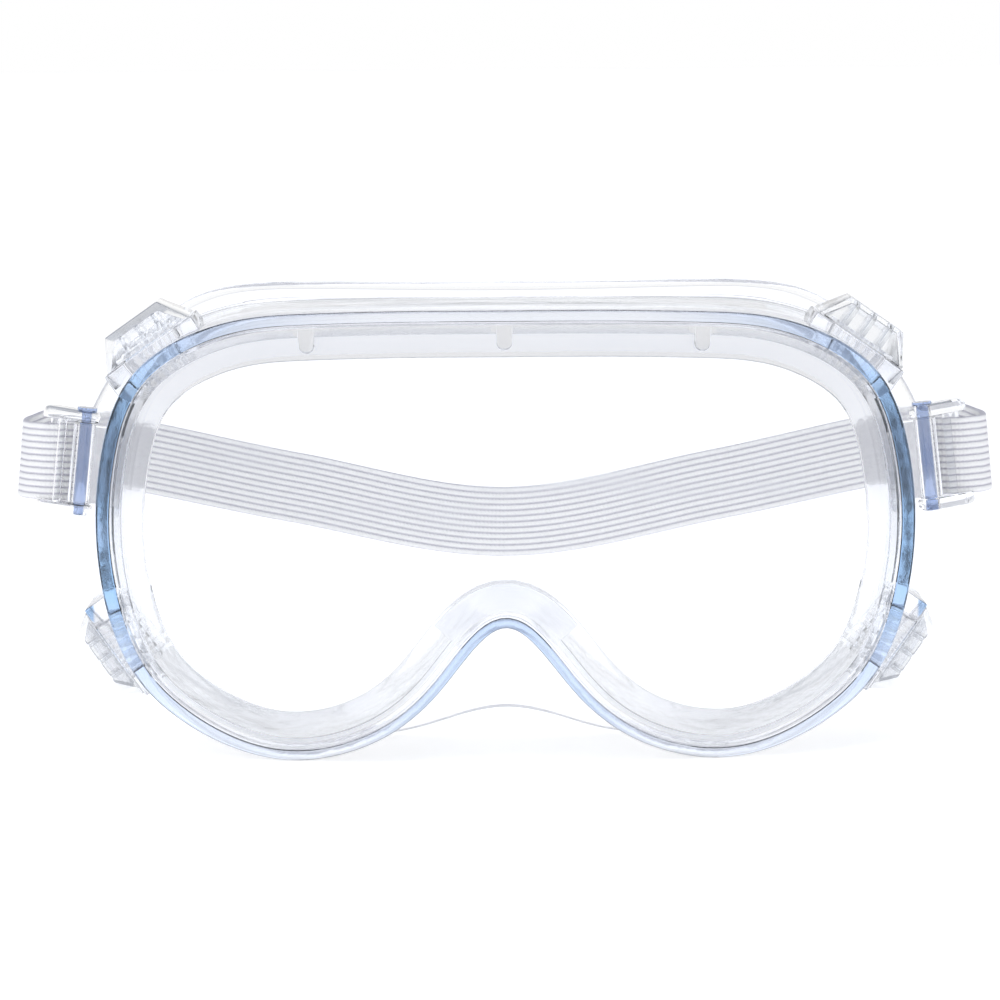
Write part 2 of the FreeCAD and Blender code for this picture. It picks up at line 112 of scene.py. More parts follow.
class Spoke:
    """Everything the mask's section needs to know at one place round its outline."""

    def __init__(self, turn):
        self.ring = outline_point(RING_OUTLINE, turn)
        self.ring_in = inwards(RING_OUTLINE, turn)
        self.rear = outline_point(REAR_OUTLINE, turn)
        self.rear_in = inwards(REAR_OUTLINE, turn)
        self.flange = outline_point(FLANGE_OUTLINE, turn)
        self.reach = self.lip_reach()

    def lip_reach(self):
        """How far the front lip comes in here: more at the three tabs and over the nose."""
        edge = self.ring + self.ring_in * LIP
        if edge.z > TAB_ZONE_FOOT:
            for place in TAB_PLACES:
                across = abs(self.ring.x - place)
                if across < TAB_HALF_WIDTH:
                    return TAB_REACH - TAB_HALF_WIDTH + math.sqrt(TAB_HALF_WIDTH**2 - across**2)
        if abs(edge.x) < NOSE_ZONE_HALF_WIDTH and edge.z < NOSE_ZONE_TOP:
            return NOSE_LIP
        return LIP


def behind_front(x, depth):
    """Y at a depth behind the mask's curved front."""
    return FRONT + LENS_RADIUS - math.sqrt((LENS_RADIUS - depth) ** 2 - x**2)


def before_rear(x, lead):
    """Y at a distance in front of the mask's curved rear."""
    return FRONT + MASK_DEPTH + FACE_RADIUS - math.sqrt((FACE_RADIUS + lead) ** 2 - x**2)


def lip_point(spoke, inset, depth):
    """A point of the front of the mask, an inset in from the ring and a depth behind its face."""
    point = spoke.ring + spoke.ring_in * inset
    point.y = behind_front(point.x, depth)
    return point


def wall_point(spoke, inset, share, depth=0.0, lead=0.0):
    """A point of the drafted wall, share 0 at its front edge and 1 at its rear edge."""
    at_front = spoke.ring + spoke.ring_in * inset
    at_rear = spoke.rear + spoke.rear_in * inset
    x = at_front.x
    for _ in range(3):
        y = behind_front(x, depth) * (1 - share) + before_rear(x, lead) * share
        point = at_front.lerp(at_rear, (y - DRAFT_START) / DRAFT_LENGTH)
        x = point.x
    point.y = y
    return point


def flange_point(spoke, share, lead, inset=0.0):
    """A point of the flange, share 0 at the wall and 1 at its rim, less an inset from the rim."""
    root = wall_point(spoke, 0, 1, lead=lead)
    root.y = 0
    span = spoke.flange - root
    point = root + span * share - span.normalized() * inset
    point.y = before_rear(point.x, lead)
    return point


def mask_section(spoke):
    """The mask's closed section at one spoke, from the rear of the wall's inside, forwards and round."""
    reach = spoke.reach
    return [
        wall_point(spoke, WALL, 1),
        wall_point(spoke, WALL, 0.7, REAR_LIP_BACK),
        wall_point(spoke, WALL, 0.4, REAR_LIP_BACK),
        wall_point(spoke, WALL, 0.15, REAR_LIP_BACK),
        lip_point(spoke, WALL + 0.5, REAR_LIP_BACK),
        lip_point(spoke, REAR_LIP - 1.2, REAR_LIP_BACK),
        lip_point(spoke, REAR_LIP - 0.15, 4.65),
        lip_point(spoke, REAR_LIP, 4.4),
        lip_point(spoke, REAR_LIP, 3.8),
        lip_point(spoke, REAR_LIP - 0.15, 3.5),
        lip_point(spoke, REAR_LIP - 1.2, REAR_LIP_FRONT),
        lip_point(spoke, WALL, REAR_LIP_FRONT),
        lip_point(spoke, WALL, LIP_BACK),
        lip_point(spoke, reach - 0.4, LIP_BACK),
        lip_point(spoke, reach - 0.1, 1.4),
        lip_point(spoke, reach, 1.15),
        lip_point(spoke, reach, 0.85),
        lip_point(spoke, reach - 0.1, 0.6),
        lip_point(spoke, reach - 0.4, LIP_FRONT),
        lip_point(spoke, RING + 0.55, LIP_FRONT),
        lip_point(spoke, RING + 0.2, 0.4),
        lip_point(spoke, RING + 0.05, 0.12),
        lip_point(spoke, RING - 0.2, 0.0),
        wall_point(spoke, 0.5, 0),
        wall_point(spoke, 0.2, 0, 0.1),
        wall_point(spoke, 0.05, 0, 0.3),
        wall_point(spoke, 0.0, 0, 0.7),
        wall_point(spoke, 0.0, 0.25, 0.7, 2.0),
        wall_point(spoke, 0.0, 0.5, 0.7, 2.0),
        wall_point(spoke, 0.0, 0.75, 0.7, 2.0),
        wall_point(spoke, 0.0, 1, 0.7, 2.0),
        flange_point(spoke, 0.03, 1.5),
        flange_point(spoke, 0.12, FLANGE),
        flange_point(spoke, 0.5, FLANGE - 0.1),
        flange_point(spoke, 1.0, 1.1, 1.7),
        flange_point(spoke, 1.0, 1.45, 1.3),
        flange_point(spoke, 1.0, 1.6, 0.75),
        flange_point(spoke, 1.0, 1.35, 0.2),
        flange_point(spoke, 1.0, 0.8, 0.0),
        flange_point(spoke, 1.0, 0.25, 0.2),
        flange_point(spoke, 1.0, 0.0, 0.75),
        flange_point(spoke, 0.5, 0.0),
        flange_point(spoke, 0.12, 0.0),
    ]


def lofted(rows, joined=False):
    """A skin through closed rows of points; joined carries the last row on to the first."""
    bm = bmesh.new()
    place = bm.verts.layers.int.new("place")
    start = [bm.verts.new(point) for point in rows[0]]
    for index, vert in enumerate(start):
        vert[place] = index
    edges = [bm.edges.new((start[index - 1], vert)) for index, vert in enumerate(start)]
    for row in rows[1:] + (rows[:1] if joined else []):
        made = bmesh.ops.extrude_edge_only(bm, edges=edges)["geom"]
        edges = [part for part in made if isinstance(part, bmesh.types.BMEdge) and part.is_boundary]
        for part in made:
            if isinstance(part, bmesh.types.BMVert):
                part.co = row[part[place]]
    if joined:
        bmesh.ops.remove_doubles(bm, verts=bm.verts, dist=0.0005)
    else:
        bmesh.ops.holes_fill(bm, edges=[edge for edge in bm.edges if edge.is_boundary])
    bmesh.ops.recalc_face_normals(bm, faces=bm.faces)
    return bm


def as_object(bm, name):
    """Turn a bmesh, worked in millimetres, into an object for joining and cutting."""
    mesh = bpy.data.meshes.new(name)
    bm.to_mesh(mesh)
    bm.free()
    made = bpy.data.objects.new(name, mesh)
    bpy.context.collection.objects.link(made)
    return made


def shaped(piece, operation, tool):
    """Join a tool to a piece or cut it away, and drop the tool."""
    boolean = piece.modifiers.new(operation, "BOOLEAN")
    boolean.operation = operation
    boolean.solver = "EXACT"
    boolean.use_self = True
    boolean.object = tool
    depsgraph = bpy.context.evaluated_depsgraph_get()
    mesh = bpy.data.meshes.new_from_object(piece.evaluated_get(depsgraph))
    piece.modifiers.clear()
    piece.data = mesh
    bpy.data.objects.remove(tool)
    return piece


def finished(piece, material, crease=35):
    """Bring a piece to metres, smooth it up to a crease angle and give it its material."""
    piece.data.transform(Matrix.Scale(MM, 4))
    piece.data.shade_smooth()
    piece.data.set_sharp_from_angle(angle=math.radians(crease))
    piece.data.materials.clear()
    piece.data.materials.append(material)
    return piece


def rounded_box(bm, low, high, matrix, radius=0.4):
    """A box between two corners with rounded edges, placed by a matrix."""
    size = Vector(high) - Vector(low)
    centre = (Vector(high) + Vector(low)) / 2
    made = bmesh.ops.create_cube(bm, size=1, matrix=Matrix.Translation(centre) @ Matrix.Diagonal((*size, 1)))
    edges = list({edge for vert in made["verts"] for edge in vert.link_edges})
    rounded = bmesh.ops.bevel(
        bm, geom=edges, offset=radius, affect="EDGES", segments=3, profile=0.5, material=-1
    )
    verts = {vert for face in rounded["faces"] for vert in face.verts}
    verts = list(verts | {vert for vert in made["verts"] if vert.is_valid})
    bmesh.ops.transform(bm, matrix=matrix, verts=verts)
    return verts


def spokes_round():
    """Spokes all the way round, set close together wherever the lip's reach changes."""
    fine = 6000
    coarse = 22
    turns = [step / fine for step in range(fine)]
    reaches = [Spoke(turn).reach for turn in turns]
    kept = []
    for step in range(fine):
        changes = reaches[step] != reaches[step - 1] or reaches[step] != reaches[(step + 1) % fine]
        if step % coarse == 0 or changes:
            kept.append(Spoke(turns[step]))
    return kept


# side, X and Z of the seat's centre on the right, and its turn about Y
VENTS = {
    "upper_right": (1, 67.1, 76.8, 35),
    "upper_left": (-1, 67.1, 76.8, 35),
    "lower_right": (1, 74.0, 18.7, 125),
    "lower_left": (-1, 74.0, 18.7, 125),
}
VENT_BEHIND_FRONT = 28
SEAT_SIDE = 20
VENT_WINDOW = 11.8
PIN_PLACE = (81.2, FRONT + 38, 53)
PIN_TILT = 6
LUG_RADIUS = 2.3
LUG_RISE = 15.2
LUG_WEB_HALF = 1.3
BORE_RADIUS = 1.25
BORE_DEPTH = 30


def on_side(side, matrix):
    """The same place on the right, or its mirror image on the left."""
    return Matrix.Diagonal((side, 1, 1, 1)) @ matrix


def vent_place(side, x, z, turn):
    """A vent's own frame: its Z points out of the mask."""
    tilt = Matrix.Rotation(math.radians(turn), 4, "Y")
    return on_side(side, Matrix.Translation((x, FRONT + VENT_BEHIND_FRONT, z)) @ tilt)


def pin_place(side):
    """The clip pin's own frame: its Z runs up the pin, which leans in at the top."""
    return on_side(side, Matrix.Translation(PIN_PLACE) @ Matrix.Rotation(math.radians(-PIN_TILT), 4, "Y"))


def make_mask():
    """The loft round the outline, with the seats and lugs joined on and the windows and bores cut."""
    spokes = spokes_round()
    sections = [mask_section(spoke) for spoke in spokes]
    rows = [[section[index] for section in sections] for index in range(len(sections[0]))]
    mask = as_object(lofted(rows, joined=True), "soft_mask")

    thick = bmesh.new()
    for side, x, z, turn in VENTS.values():
        half = SEAT_SIDE / 2
        rounded_box(thick, (-half, -half, -WALL * 3.5), (half, half, 0), vent_place(side, x, z, turn))
    for side in (1, -1):
        bmesh.ops.create_cone(
            thick, cap_ends=True, segments=40, radius1=LUG_RADIUS, radius2=LUG_RADIUS, depth=LUG_RISE,
            matrix=pin_place(side),
        )
        web_top = LUG_RISE / 2 - 0.1
        rounded_box(
            thick, (-7, -LUG_WEB_HALF, -web_top), (-1, LUG_WEB_HALF, web_top), pin_place(side), 0.3
        )
    bmesh.ops.recalc_face_normals(thick, faces=thick.faces)
    thick = as_object(thick, "seats_and_lugs")
    inside = []
    for y, share in ((DRAFT_START, 0.0), (DRAFT_START + DRAFT_LENGTH, 1.0)):
        row = []
        for spoke in spokes[::3]:
            at_front = spoke.ring + spoke.ring_in * WALL * 0.6
            at_rear = spoke.rear + spoke.rear_in * WALL * 0.6
            point = at_front.lerp(at_rear, share)
            point.y = y
            row.append(point)
        inside.append(row)
    shaped(thick, "DIFFERENCE", as_object(lofted(inside), "inside"))
    shaped(mask, "UNION", thick)

    holes = bmesh.new()
    for side, x, z, turn in VENTS.values():
        half = VENT_WINDOW / 2
        rounded_box(holes, (-half, -half, -10), (half, half, 2), vent_place(side, x, z, turn), 0.8)
    for side in (1, -1):
        bmesh.ops.create_cone(
            holes, cap_ends=True, segments=32, radius1=BORE_RADIUS, radius2=BORE_RADIUS, depth=BORE_DEPTH,
            matrix=pin_place(side),
        )
    bmesh.ops.recalc_face_normals(holes, faces=holes.faces)
    return shaped(mask, "DIFFERENCE", as_object(holes, "windows_and_bores"))


class Shade:
    """One output of a shader tree, which can be used in plain arithmetic."""

    def __init__(self, tree, socket):
        self.tree = tree
        self.socket = socket

    @classmethod
    def node(cls, tree, kind, inputs=None, output=0, **settings):
        """Add a node with its settings, its socket values or links, and hand back one output."""
        made = tree.nodes.new(kind)
        for name, value in settings.items():
            if name == "stops":
                ramp = made.color_ramp
                while len(ramp.elements) < len(value):
                    ramp.elements.new(1.0)
                for stop, (place, colour) in zip(ramp.elements, value):
                    stop.position = place
                    stop.color = colour
            else:
                setattr(made, name, value)
        for name, value in (inputs or {}).items():
            if isinstance(value, Shade):
                tree.links.new(value.socket, made.inputs[name])
            else:
                made.inputs[name].default_value = value
        return cls(tree, made.outputs[output])

    def also(self, output):
        """Another output of the same node."""
        return Shade(self.tree, self.socket.node.outputs[output])

    def arithmetic(self, operation, first, second):
        return Shade.node(self.tree, "ShaderNodeMath", {0: first, 1: second}, operation=operation)

    def __add__(self, other):
        return self.arithmetic("ADD", self, other)

    __radd__ = __add__

    def __sub__(self, other):
        return self.arithmetic("SUBTRACT", self, other)

    def __rsub__(self, other):
        return self.arithmetic("SUBTRACT", other, self)

    def __mul__(self, other):
        return self.arithmetic("MULTIPLY", self, other)

    __rmul__ = __mul__

    def __pow__(self, other):
        return self.arithmetic("POWER", self, other)

    def __abs__(self):
        return self.arithmetic("ABSOLUTE", self, 0.0)

    def between(self, low, high):
        """0 below low, 1 above high, and a smooth change in between."""
        return Shade.node(
            self.tree, "ShaderNodeMapRange",
            {"Value": self, "From Min": low, "From Max": high}, interpolation_type="SMOOTHSTEP",
        )

    def blend(self, first, second):
        """The first colour where this is 0 and the second where it is 1."""
        return Shade.node(
            self.tree, "ShaderNodeMix", {0: self, 6: first, 7: second}, output=2, data_type="RGBA"
        )


def new_material(name):
    """An empty material and the Principled shader that it ends in."""
    material = bpy.data.materials.new(name)
    material.use_nodes = True
    tree = material.node_tree
    shader = tree.nodes["Principled BSDF"]
    return material, tree, shader


def link(shade, shader, socket):
    shade.tree.links.new(shade.socket, shader.inputs[socket])


def noise(tree, place, scale, detail=3.0):
    return Shade.node(tree, "ShaderNodeTexNoise", {"Vector": place, "Scale": scale, "Detail": detail})


def bump(height, distance, strength):
    return Shade.node(
        height.tree, "ShaderNodeBump", {"Height": height, "Distance": distance, "Strength": strength}
    )


def tint_through(tree, colour, density):
    """Colour that deepens with the length of the light's way through the plastic."""
    depth_tint = Shade.node(tree, "ShaderNodeVolumeAbsorption", {"Color": (*colour, 1), "Density": density})
    tree.links.new(depth_tint.socket, tree.nodes["Material Output"].inputs["Volume"])


def edge_shade(tree):
    """0 where the plastic faces the eye and 1 along its turned edges, where real edges look darker."""
    facing = Shade.node(tree, "ShaderNodeLayerWeight", {"Blend": 0.5}, output="Facing")
    return facing ** 3.0


def make_clear_pvc():
    """Clear PVC that gathers to a mid blue in the ring, where the light runs lengthwise through the wall."""
    material, tree, shader = new_material("clear_soft_pvc")
    place = Shade.node(tree, "ShaderNodeTexCoord", output="Object")
    x = Shade.node(tree, "ShaderNodeSeparateXYZ", {0: place})
    y = x.also("Y")
    z = x.also("Z")
    back = y - (FRONT + LENS_RADIUS) * MM
    depth = LENS_RADIUS * MM - (x * x + back * back) ** 0.5
    ring_face = 1 - depth.between(0.00015, 0.0004)
    side = abs(x)
    over_nose = 1 - side.between(0.012, 0.034)
    over_nose = over_nose * (1 - z.between(0.040, 0.060))
    strength = side.between(0.022, 0.066) * (0.4 + z.between(0.004, 0.034) * 0.6)
    strength = strength * (1 - z.between(0.064, 0.082) * 0.35) + over_nose * 0.7
    cloudy = noise(tree, place, 90.0)
    tint = ring_face * (0.1 + strength * 0.9) * (0.85 + cloudy * 0.3)
    # Painted shade: the base colour greys a band on the rear lip, more strongly higher up, standing in for
    # the darker surroundings that the real plastic shows there.
    rear_lip_shade = depth.between(0.0028, 0.0034) * (1 - depth.between(0.0048, 0.0054))
    rear_lip_shade = rear_lip_shade * z.between(0.026, 0.060)
    body = rear_lip_shade.blend((0.975, 0.978, 0.985, 1), (0.78, 0.78, 0.795, 1))
    colour = tint.blend(body, (0.13, 0.33, 0.70, 1))
    link((edge_shade(tree) * 0.6).blend(colour, (0.36, 0.41, 0.53, 1)), shader, "Base Color")
    link(0.05 + cloudy * 0.06, shader, "Roughness")
    wavy = noise(tree, place, 55.0, 2.0) + noise(tree, place, 420.0, 2.0) * 0.12
    link(bump(wavy, 0.0006, 0.35), shader, "Normal")
    shader.inputs["Transmission Weight"].default_value = 1.0
    shader.inputs["IOR"].default_value = 1.45
    tint_through(tree, (0.46, 0.54, 0.78), 5.0)
    return material


clear_pvc = make_clear_pvc()
soft_mask = finished(make_mask(), clear_pvc)
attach(soft_mask, "goggles")
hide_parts("frame_body")

# ---------------------------------------------------------------- lens
# The lens is a flat blank of hard, clear polycarbonate, bent into the ring's groove and held there
# by the two lips. Its polish carries only a few faint wipe marks.


def make_polycarbonate():
    material, tree, shader = new_material("clear_polycarbonate")
    place = Shade.node(tree, "ShaderNodeTexCoord", output="Object")
    stretched = Shade.node(tree, "ShaderNodeMapping", {"Vector": place, "Scale": (1, 1, 5)})
    wiped = noise(tree, stretched, 26.0, 4.0).between(0.45, 0.85)
    colour = wiped.blend((0.985, 0.99, 0.995, 1), (0.965, 0.975, 0.99, 1))
    link(colour, shader, "Base Color")
    link(0.012 + wiped * 0.05, shader, "Roughness")
    shader.inputs["Transmission Weight"].default_value = 1.0
    shader.inputs["IOR"].default_value = 1.45
    return material


def dress(node, material):
    """Give a carried-over piece its finish."""
    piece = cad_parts[node]
    piece.data.materials.clear()
    piece.data.materials.append(material)


dress("lens", make_polycarbonate())

# ---------------------------------------------------------------- vents
# Each vent is a clear, hard box-like cap over a window in the mask's corner. It is pressed into a
# base plate whose hooks grip the seat from inside, and air passes the slots along its rear foot.
CAP_SIDE = 19
CAP_TOP_SIDE = 12
CAP_RISE = 5.8
CAP_WALL = 1.1
CAP_RIB = 0.9
CAP_RIB_PITCH = 3.8
CAP_GAP = 0.1
CAP_BEVEL = 0.28
CAP_RIB_FOOT = 1.4


def make_hard_plastic(name, tone, bending):
    """Clear hard plastic; bending is its IOR, low where many thin walls lie one behind another."""
    material, tree, shader = new_material(name)
    place = Shade.node(tree, "ShaderNodeTexCoord", output="Object")
    cloudy = noise(tree, place, 160.0)
    paler = tuple(channel * 0.5 + 0.5 for channel in tone)
    colour = cloudy.blend((*tone, 1), (*paler, 1))
    link((edge_shade(tree) * 0.4).blend(colour, (0.42, 0.47, 0.58, 1)), shader, "Base Color")
    link(0.05 + cloudy * 0.06, shader, "Roughness")
    link(bump(noise(tree, place, 240.0, 2.0), 0.0002, 0.2), shader, "Normal")
    shader.inputs["Transmission Weight"].default_value = 1.0
    shader.inputs["IOR"].default_value = bending
    return material


clear_hard = make_hard_plastic("clear_hard_plastic", (0.965, 0.975, 0.99), 1.3)
clear_base = make_hard_plastic("clear_base_plastic", (0.975, 0.98, 0.99), 1.12)


def make_cap():
    """A faceted hollow cap with three ribs across its inside."""
    bm = bmesh.new()
    foot = bmesh.ops.create_grid(
        bm, x_segments=1, y_segments=1, size=CAP_SIDE / 2, matrix=Matrix.Translation((0, 0, CAP_GAP))
    )
    bottom = foot["verts"][0].link_faces[0]
    raised = bmesh.ops.extrude_face_region(bm, geom=[bottom])["geom"]
    top = [part for part in raised if isinstance(part, bmesh.types.BMVert)]
    bmesh.ops.translate(bm, verts=top, vec=(0, 0, CAP_RISE))
    bmesh.ops.scale(bm, verts=top, vec=(CAP_TOP_SIDE / CAP_SIDE, CAP_TOP_SIDE / CAP_SIDE, 1))
    low = min(bm.faces, key=lambda face: face.calc_center_median().z)
    bmesh.ops.inset_region(bm, faces=[low], thickness=CAP_WALL)
    sunk = bmesh.ops.extrude_face_region(bm, geom=[low])["geom"]
    roof = [part for part in sunk if isinstance(part, bmesh.types.BMVert)]
    bmesh.ops.delete(bm, geom=[low], context="FACES")
    bmesh.ops.translate(bm, verts=roof, vec=(0, 0, CAP_RISE - CAP_WALL))
    inner_ratio = (CAP_TOP_SIDE - 2 * CAP_WALL) / (CAP_SIDE - 2 * CAP_WALL)
    bmesh.ops.scale(bm, verts=roof, vec=(inner_ratio, inner_ratio, 1))
    bmesh.ops.recalc_face_normals(bm, faces=bm.faces)
    bmesh.ops.bevel(
        bm, geom=bm.edges[:], offset=CAP_BEVEL, affect="EDGES", segments=3, profile=0.5, material=-1
    )
    for step in (-1, 0, 1):
        middle = step * CAP_RIB_PITCH
        half = CAP_RIB / 2
        span = CAP_TOP_SIDE / 2 - CAP_WALL + 0.6
        rounded_box(
            bm, (middle - half, -span, CAP_RIB_FOOT), (middle + half, span, CAP_RISE - CAP_WALL + 0.15),
            Matrix.Identity(4), 0.15,
        )
    return bm


for corner, (side, x, z, turn) in VENTS.items():
    cap = make_cap()
    cap.transform(vent_place(side, x, z, turn))
    bmesh.ops.recalc_face_normals(cap, faces=cap.faces)
    cap = finished(as_object(cap, f"cap_{corner}"), clear_hard)
    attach(cap, "goggles")
    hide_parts(f"vent_cap_{corner}")
    dress(f"vent_base_{corner}", clear_base)

# ---------------------------------------------------------------- clips and pins
# The strap clips are clear hard mouldings: two rounded ears joined by two bars that the strap is
# laced round. Each swings on a blue pin pushed through its ears and the mask's lug.
CLIP_TURN = 35
EAR_OUTER = 10.2
EAR_INNER = 7.9
EAR_REACH = 7.4
EAR_RADIUS = 2.6
BARS = ((4.4, -1.6, 0.8), (8.6, 1.2, 0.9))


def stadium(radius, z):
    """A closed row round two half circles, the first on the pin's axis."""
    steps = 24
    row = []
    for shift, start in ((0, 0.5), (EAR_REACH, 1.5)):
        for index in range(steps):
            angle = math.pi * (start + index / (steps - 1))
            row.append(Vector((shift + radius * math.cos(angle), radius * math.sin(angle), z)))
    return row


def make_clip(side):
    """Two ears and two bars, in the clip's own frame with X out from the pin."""
    rows = []
    low, high = EAR_INNER, EAR_OUTER
    for z, less in (
        (low, 0.5), (low + 0.15, 0.15), (low + 0.5, 0), (high - 0.8, 0), (high - 0.25, 0.3), (high, 0.9)
    ):
        rows.append(stadium(EAR_RADIUS - less, z))
    clip = lofted(rows)
    upper = clip.verts[:] + clip.edges[:] + clip.faces[:]
    copied = bmesh.ops.duplicate(clip, geom=upper)["geom"]
    lower = [part for part in copied if isinstance(part, bmesh.types.BMVert)]
    bmesh.ops.scale(clip, verts=lower, vec=(1, 1, -1))
    bmesh.ops.recalc_face_normals(clip, faces=clip.faces)
    clip = as_object(clip, f"clip_{side}")
    bars = bmesh.new()
    for out, back, radius in BARS:
        bmesh.ops.create_cone(
            bars, cap_ends=True, segments=32, radius1=radius, radius2=radius,
            depth=EAR_INNER * 2 + 1.2, matrix=Matrix.Translation((out, back, 0)),
        )
    clip = shaped(clip, "UNION", as_object(bars, "bars"))
    bores = bmesh.new()
    bmesh.ops.create_cone(
        bores, cap_ends=True, segments=32, radius1=BORE_RADIUS, radius2=BORE_RADIUS, depth=BORE_DEPTH
    )
    clip = shaped(clip, "DIFFERENCE", as_object(bores, "bores"))
    bm = bmesh.new()
    bm.from_mesh(clip.data)
    bm.transform(pin_place(side) @ Matrix.Rotation(math.radians(CLIP_TURN), 4, "Z"))
    bmesh.ops.recalc_face_normals(bm, faces=bm.faces)
    bm.to_mesh(clip.data)
    bm.free()
    return clip


blue_plastic = make_hard_plastic("blue_hard_plastic", (0.16, 0.27, 0.55), 1.4)
for name, side in (("right", 1), ("left", -1)):
    clip = finished(make_clip(side), clear_hard)
    clip.name = f"strap_clip_{name}"
    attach(clip, f"{name}_clip")
    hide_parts(f"{name}_clip")
    dress(f"{name}_clip_pin", blue_plastic)

# ---------------------------------------------------------------- strap
# The strap is one length of white elastic webbing, twelve cords wide and knitted, with faint lilac-grey
# painted shade in the valleys between the cords. Each end is laced through its clip, and the rest sags
# behind the mask as it stands.
STRAP_WIDTH = 14.8
STRAP_RIBS = 12
STRAP_CORE = 0.42
STRAP_RIB_RISE = 0.26
STRAP_EDGE_RISE = 0.2
STRAP_PITCH = 1.1
STITCH_PITCH = 0.85
STRAP_ROUTE = [
    (82.6, -31.8, 53), (84.5, -31.9, 53), (88.5, -30.8, 53), (90.3, -29.3, 53), (91.9, -27.0, 52.9),
    (93.9, -20.5, 52.7), (93.7, -8.3, 52.6), (89.5, 13.7, 52.0), (75.5, 41.7, 47.0), (44.5, 62.1, 38.2),
    (0, 72.1, 29.5), (-44.5, 62.1, 38.2),
]


def along_route(route, fine=40):
    """Points close together on a smooth line through a route, up to its last point but one."""
    points = []
    first = Vector(route[0]) * 2 - Vector(route[1])
    knots = [first] + [Vector(point) for point in route]
    for span in range(1, len(knots) - 2):
        before, start, end, after = knots[span - 1:span + 3]
        reach = (end - start).length
        leave = (end - before).normalized() * reach
        arrive = (after - start).normalized() * reach
        for step in range(fine):
            t = step / fine
            points.append(
                start * (2 * t**3 - 3 * t**2 + 1) + leave * (t**3 - 2 * t**2 + t)
                + end * (3 * t**2 - 2 * t**3) + arrive * (t**3 - t**2)
            )
    points.append(knots[-2])
    return points


def evenly(points, pitch):
    """Points at an even pitch along a line."""
    lengths = [0.0]
    for start, end in zip(points, points[1:]):
        lengths.append(lengths[-1] + (end - start).length)
    count = round(lengths[-1] / pitch)
    spots = []
    index = 0
    for step in range(count + 1):
        target = lengths[-1] * step / count
        while index < len(points) - 2 and lengths[index + 1] < target:
            index += 1
        share = (target - lengths[index]) / (lengths[index + 1] - lengths[index])
        spots.append(points[index].lerp(points[index + 1], share))
    return spots


def rib_section():
    """Across and through the webbing, once round: places in ribs and heights over the mid plane."""
    phases = (0.0, 0.12, 0.3, 0.5, 0.7, 0.88)
    front = []
    for rib in range(STRAP_RIBS):
        for phase in phases:
            rise = STRAP_CORE + STRAP_RIB_RISE * math.sqrt(math.sin(math.pi * phase))
            front.append((rib + phase, rise))
    front[0] = (0.0, STRAP_EDGE_RISE)
    front.append((STRAP_RIBS, STRAP_EDGE_RISE))
    return front + [(across, -rise) for across, rise in reversed(front)]


def make_strap_half(side):
    """Half of the webbing, from its clip to the middle of the back."""
    spots = evenly(along_route(STRAP_ROUTE), STRAP_PITCH)
    section = rib_section()
    rows = []
    for index, spot in enumerate(spots):
        ahead = spots[min(index + 1, len(spots) - 1)] - spots[max(index - 1, 0)]
        if index == len(spots) - 1:
            ahead = Vector((-1, 0, 0))
        ahead.normalize()
        settled = min(max((spot.y + 30) / 60, 0), 1)
        up = Vector((-math.sin(math.radians(PIN_TILT)) * (1 - settled), 0, 1))
        up = (up - ahead * up.dot(ahead)).normalized()
        face = ahead.cross(up)
        row = []
        for across, rise in section:
            row.append(spot + up * (across / STRAP_RIBS - 0.5) * STRAP_WIDTH + face * rise)
        rows.append(row)
    bm = lofted(rows)
    place = bm.verts.layers.int["place"]
    across = bm.verts.layers.float.new("across")
    along = bm.verts.layers.float.new("along")
    for index, vert in enumerate(bm.verts):
        vert[across] = section[vert[place]][0]
        vert[along] = index // len(section) * STRAP_PITCH
    bm.transform(Matrix.Diagonal((side, 1, 1, 1)))
    bmesh.ops.recalc_face_normals(bm, faces=bm.faces)
    return bm


def make_webbing():
    material, tree, shader = new_material("elastic_webbing")
    across = Shade.node(tree, "ShaderNodeAttribute", output="Fac", attribute_name="across")
    along = Shade.node(tree, "ShaderNodeAttribute", output="Fac", attribute_name="along")
    phase = Shade.node(tree, "ShaderNodeMath", {0: across, 1: 1.0}, operation="FRACT")
    from_middle = abs(phase - 0.5) * 2
    # Painted shade: the valleys between the cords are darkened towards lilac grey in the base colour, made
    # uneven by the fuzz noise.
    valley_shade = from_middle.between(0.35, 1.0)
    stitch_turn = (along + from_middle * 0.35) * (2 * math.pi / STITCH_PITCH)
    stitch = Shade.node(tree, "ShaderNodeMath", {0: stitch_turn}, operation="SINE")
    place = Shade.node(tree, "ShaderNodeTexCoord", output="Object")
    fuzz = noise(tree, place, 1800.0, 2.0)
    # The base colour runs from the webbing's own white to the painted lilac-grey valley shade.
    colour = (valley_shade * (0.75 + fuzz * 0.5)).blend((0.94, 0.94, 0.945, 1), (0.60, 0.59, 0.66, 1))
    link(colour, shader, "Base Color")
    link(0.78 + fuzz * 0.15, shader, "Roughness")
    link(bump(stitch * 0.5 + fuzz, 0.00012, 0.7), shader, "Normal")
    shader.inputs["Sheen Weight"].default_value = 0.25
    shader.inputs["Sheen Roughness"].default_value = 0.5
    return material


webbing = make_webbing()
for name, side in (("right", 1), ("left", -1)):
    strap = finished(as_object(make_strap_half(side), f"strap_{name}"), webbing, 60)
    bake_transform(strap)
    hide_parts(f"strap_{name}_end", "strap_band")

# ---------------------------------------------------------------- floor, light and camera
# A white table runs on into a white room, with one large soft light overhead and one from the side.
floor = bmesh.new()
bmesh.ops.create_grid(floor, x_segments=1, y_segments=1, size=6, matrix=Matrix.Translation((0, 0, -0.0001)))
floor = as_object(floor, "floor")
matte_white, tree, shader = new_material("matte_white")
place = Shade.node(tree, "ShaderNodeTexCoord", output="Object")
link(0.6 + noise(tree, place, 40.0) * 0.2, shader, "Roughness")
shader.inputs["Base Color"].default_value = (0.93, 0.935, 0.94, 1)
shader.inputs["Emission Color"].default_value = (1, 1, 1, 1)
shader.inputs["Emission Strength"].default_value = 0.62
floor.data.materials.append(matte_white)


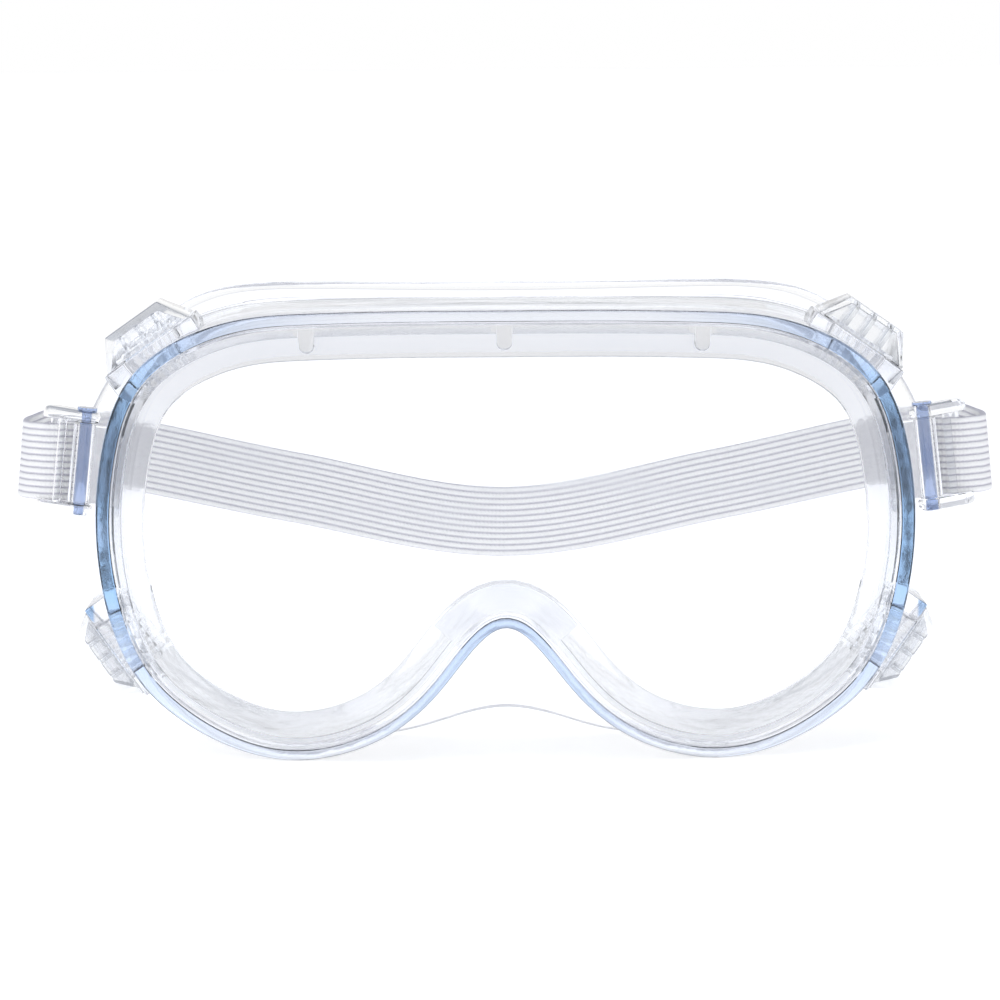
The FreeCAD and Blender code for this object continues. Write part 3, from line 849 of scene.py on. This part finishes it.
def soft_light(name, place, aim, size, power):
    data = bpy.data.lights.new(name, "AREA")
    data.shape = "DISK"
    data.size = size
    data.energy = power
    lamp = bpy.data.objects.new(name, data)
    lamp.location = place
    lamp.rotation_euler = (Vector(aim) - Vector(place)).to_track_quat("-Z", "Y").to_euler()
    bpy.context.collection.objects.link(lamp)


soft_light("overhead", (0.1, -0.2, 1.1), (0, 0, 0), 0.9, 4.0)
soft_light("side", (-1.0, -0.7, 0.7), (0, 0, 0.04), 0.7, 2.0)

room = bpy.data.worlds.new("room")
room.use_nodes = True
bpy.context.scene.world = room
tree = room.node_tree
direction = Shade.node(tree, "ShaderNodeTexCoord", output="Generated")
upwards = Shade.node(tree, "ShaderNodeSeparateXYZ", {0: direction}, output="Z")
sky = Shade.node(
    tree, "ShaderNodeValToRGB", {0: upwards * 0.5 + 0.5},
    stops=[(0.0, (1.0, 1.0, 1.0, 1)), (0.58, (1.0, 1.0, 1.0, 1)), (0.72, (0.47, 0.49, 0.54, 1)),
           (1.0, (0.26, 0.28, 0.32, 1))],
)
link(sky, tree.nodes["Background"], "Color")
tree.nodes["Background"].inputs["Strength"].default_value = 1.0

DISTANCE = 0.95
CAMERA_RISE = 6.0
CAMERA_ROLL = -0.4
LENS_PER_METRE = 194.6
AIM = Vector((-0.001, FRONT * MM, 0.0493))
optics = bpy.data.cameras.new("camera")
optics.lens = LENS_PER_METRE * DISTANCE
optics.clip_start = 0.05
optics.clip_end = 50
camera = bpy.data.objects.new("camera", optics)
rise = math.radians(CAMERA_RISE)
camera.location = AIM + Vector((0, -math.cos(rise), math.sin(rise))) * DISTANCE
camera.rotation_euler = (AIM - camera.location).to_track_quat("-Z", "Y").to_euler()
camera.rotation_euler.rotate_axis("Z", math.radians(CAMERA_ROLL))
bpy.context.collection.objects.link(camera)
scene = bpy.context.scene
scene.camera = camera
scene.view_settings.view_transform = "Standard"
scene.cycles.max_bounces = 20
scene.cycles.transmission_bounces = 20
scene.cycles.glossy_bounces = 6
scene.cycles.diffuse_bounces = 3
